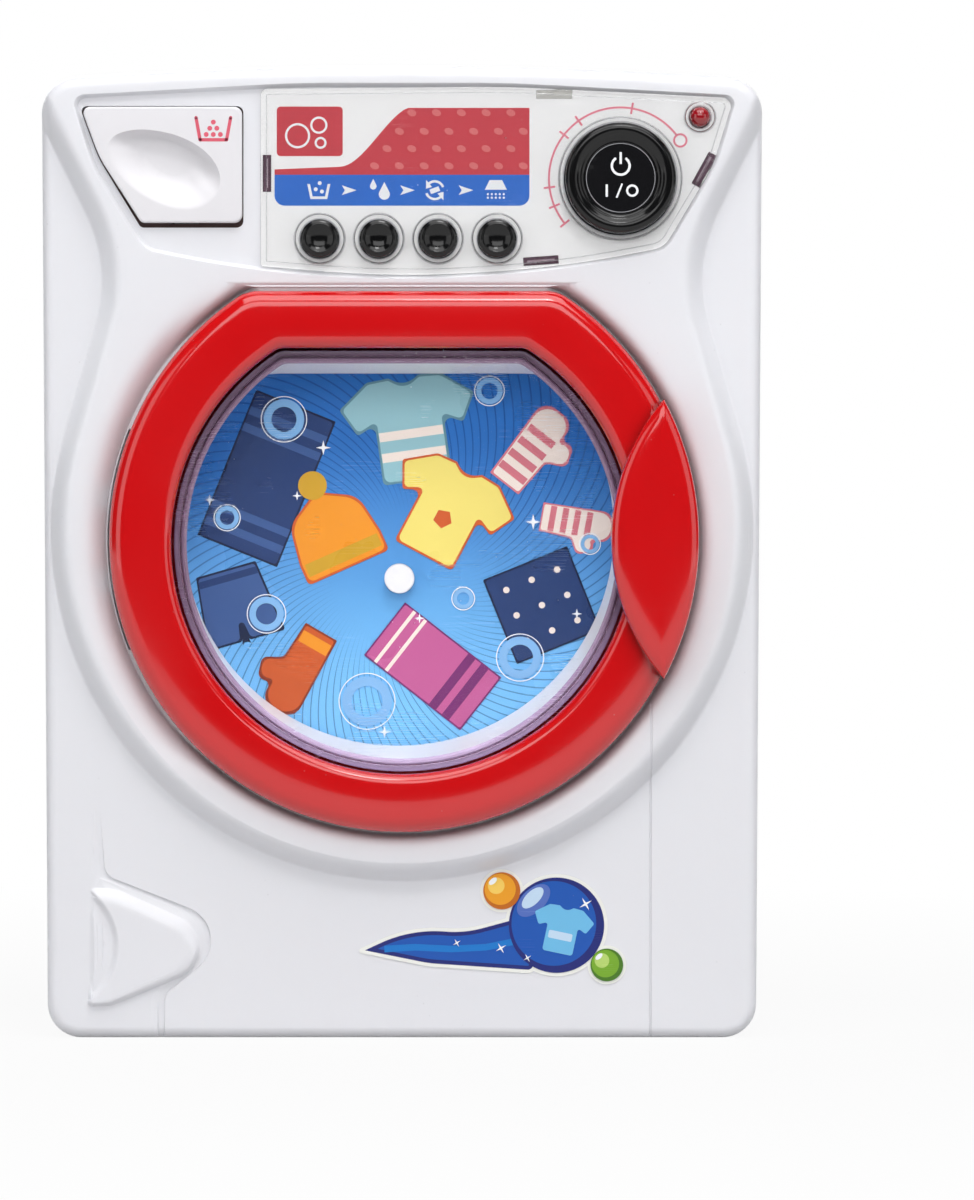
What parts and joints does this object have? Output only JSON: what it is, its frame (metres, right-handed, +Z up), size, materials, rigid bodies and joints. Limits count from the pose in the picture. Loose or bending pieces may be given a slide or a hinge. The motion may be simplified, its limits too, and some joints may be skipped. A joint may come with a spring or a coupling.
{
  "type": "toy washing machine",
  "caption": "Free-standing toy washing machine with a round opening door, a printed disc turned by a geared motor, press buttons and a pull-out detergent drawer.",
  "frame": {"origin": "centre of the box at the level of the base, seen from above", "axes": "+Z up along the height, -Y towards the front with the door, +X to the right of the front"},
  "size_m": [0.1634, 0.0922, 0.22],
  "materials": {
    "white_shell": "semi-gloss moulded",
    "white_inner": "semi-gloss moulded",
    "drawer_white": "semi-gloss moulded",
    "door_red": "glossy moulded",
    "clear_window": "clear styrene",
    "clear_cover": "clear styrene",
    "printed_card": "printed card",
    "printed_disc": "printed film",
    "printed_sticker": "printed film",
    "power_print": "printed film",
    "button_black": "polished",
    "lamp_red": "tinted clear",
    "steel": "plated",
    "motor_steel": "plated",
    "brass": "turned",
    "gear_plastic": "natural",
    "grey_plastic": "moulded",
    "board_green": "solder mask",
    "rubber": "moulded",
    "cell_wrap": "shrink wrap",
    "speaker_black": "card and steel",
    "lead_red": "insulation",
    "lead_blue": "insulation",
    "lead_black": "insulation"
  },
  "bodies": {
    "casing": {"front_housing": "white_shell", "rear_housing": "white_shell", "housing_screws": "steel", "console_card": "printed_card", "console_cover": "clear_cover", "indicator_lamp": "lamp_red", "circuit_board": "board_green", "key_domes": "rubber", "board_screws": "steel", "drawer_sleeve": "white_inner", "hinge_pin": "steel", "door_catch": "white_inner", "tub_ring": "white_inner", "tub_screws": "steel", "shaft_bush": "brass", "gear_bracket": "grey_plastic", "bracket_screws": "steel", "gearbox_cover": "grey_plastic", "gearbox_screws": "steel", "gear_axles": "steel", "motor_can": "motor_steel", "battery_cells": "cell_wrap", "battery_contacts": "steel", "speaker": "speaker_black", "motor_leads": "lead_red", "speaker_leads": "lead_blue", "battery_leads": "lead_black", "front_sticker": "printed_sticker"},
    "door": {"door_ring": "door_red", "door_window": "clear_window", "door_back_ring": "door_red", "door_handle": "door_red"},
    "drum": {"spin_disc": "white_inner", "disc_label": "printed_disc", "drive_shaft": "steel", "output_gear": "gear_plastic"},
    "gear_b": {"compound_gear_b": "gear_plastic"},
    "gear_a": {"compound_gear_a": "gear_plastic"},
    "motor_rotor": {"motor_shaft": "steel", "motor_pinion": "brass"},
    "button_1": {"program_button_1": "button_black"},
    "button_2": {"program_button_2": "button_black"},
    "button_3": {"program_button_3": "button_black"},
    "button_4": {"program_button_4": "button_black"},
    "power": {"power_button": "button_black", "power_sticker": "power_print"},
    "drawer": {"detergent_drawer": "drawer_white"},
    "battery_lid": {"battery_door": "white_shell", "battery_door_screw": "steel"}
  },
  "joints": [
    {"name": "door_hinge", "type": "hinge", "parent": "casing", "child": "door", "pos_m": [-0.0622, -0.03605, 0.113], "axis": [0, 0, -1], "range_deg": [0, 90]},
    {"name": "drum_spin", "type": "hinge", "parent": "casing", "child": "drum", "pos_m": [-0.0006, -0.01185, 0.1041], "axis": [0, 1, 0], "continuous": true},
    {"name": "gear_b_spin", "type": "hinge", "parent": "casing", "child": "gear_b", "pos_m": [0.0162, -0.00185, 0.1041], "axis": [0, 1, 0], "continuous": true},
    {"name": "gear_a_spin", "type": "hinge", "parent": "casing", "child": "gear_a", "pos_m": [0.024, 0.00215, 0.11761], "axis": [0, 1, 0], "continuous": true},
    {"name": "motor_spin", "type": "hinge", "parent": "casing", "child": "motor_rotor", "pos_m": [0.039, 0.01815, 0.11761], "axis": [0, 1, 0], "continuous": true},
    {"name": "button_1_press", "type": "slide", "parent": "casing", "child": "button_1", "axis": [0, 1, 0], "range_m": [0, 0.0012], "stiffness_N_per_m": 200, "springref_m": -0.002},
    {"name": "button_2_press", "type": "slide", "parent": "casing", "child": "button_2", "axis": [0, 1, 0], "range_m": [0, 0.0012], "stiffness_N_per_m": 200, "springref_m": -0.002},
    {"name": "button_3_press", "type": "slide", "parent": "casing", "child": "button_3", "axis": [0, 1, 0], "range_m": [0, 0.0012], "stiffness_N_per_m": 200, "springref_m": -0.002},
    {"name": "button_4_press", "type": "slide", "parent": "casing", "child": "button_4", "axis": [0, 1, 0], "range_m": [0, 0.0012], "stiffness_N_per_m": 200, "springref_m": -0.002},
    {"name": "power_press", "type": "slide", "parent": "casing", "child": "power", "axis": [0, 1, 0], "range_m": [0, 0.0015], "stiffness_N_per_m": 300, "springref_m": -0.003},
    {"name": "drawer_slide", "type": "slide", "parent": "casing", "child": "drawer", "axis": [0, -1, 0], "range_m": [0, 0.024]},
    {"name": "battery_lid_off", "type": "slide", "parent": "casing", "child": "battery_lid", "axis": [0, 1, 0], "range_m": [0, 0.03]}
  ],
  "couplings": [
    {"joint": "gear_b_spin", "follows": "drum_spin", "ratio": -3},
    {"joint": "gear_a_spin", "follows": "drum_spin", "ratio": 10},
    {"joint": "motor_spin", "follows": "drum_spin", "ratio": -40}
  ]
}
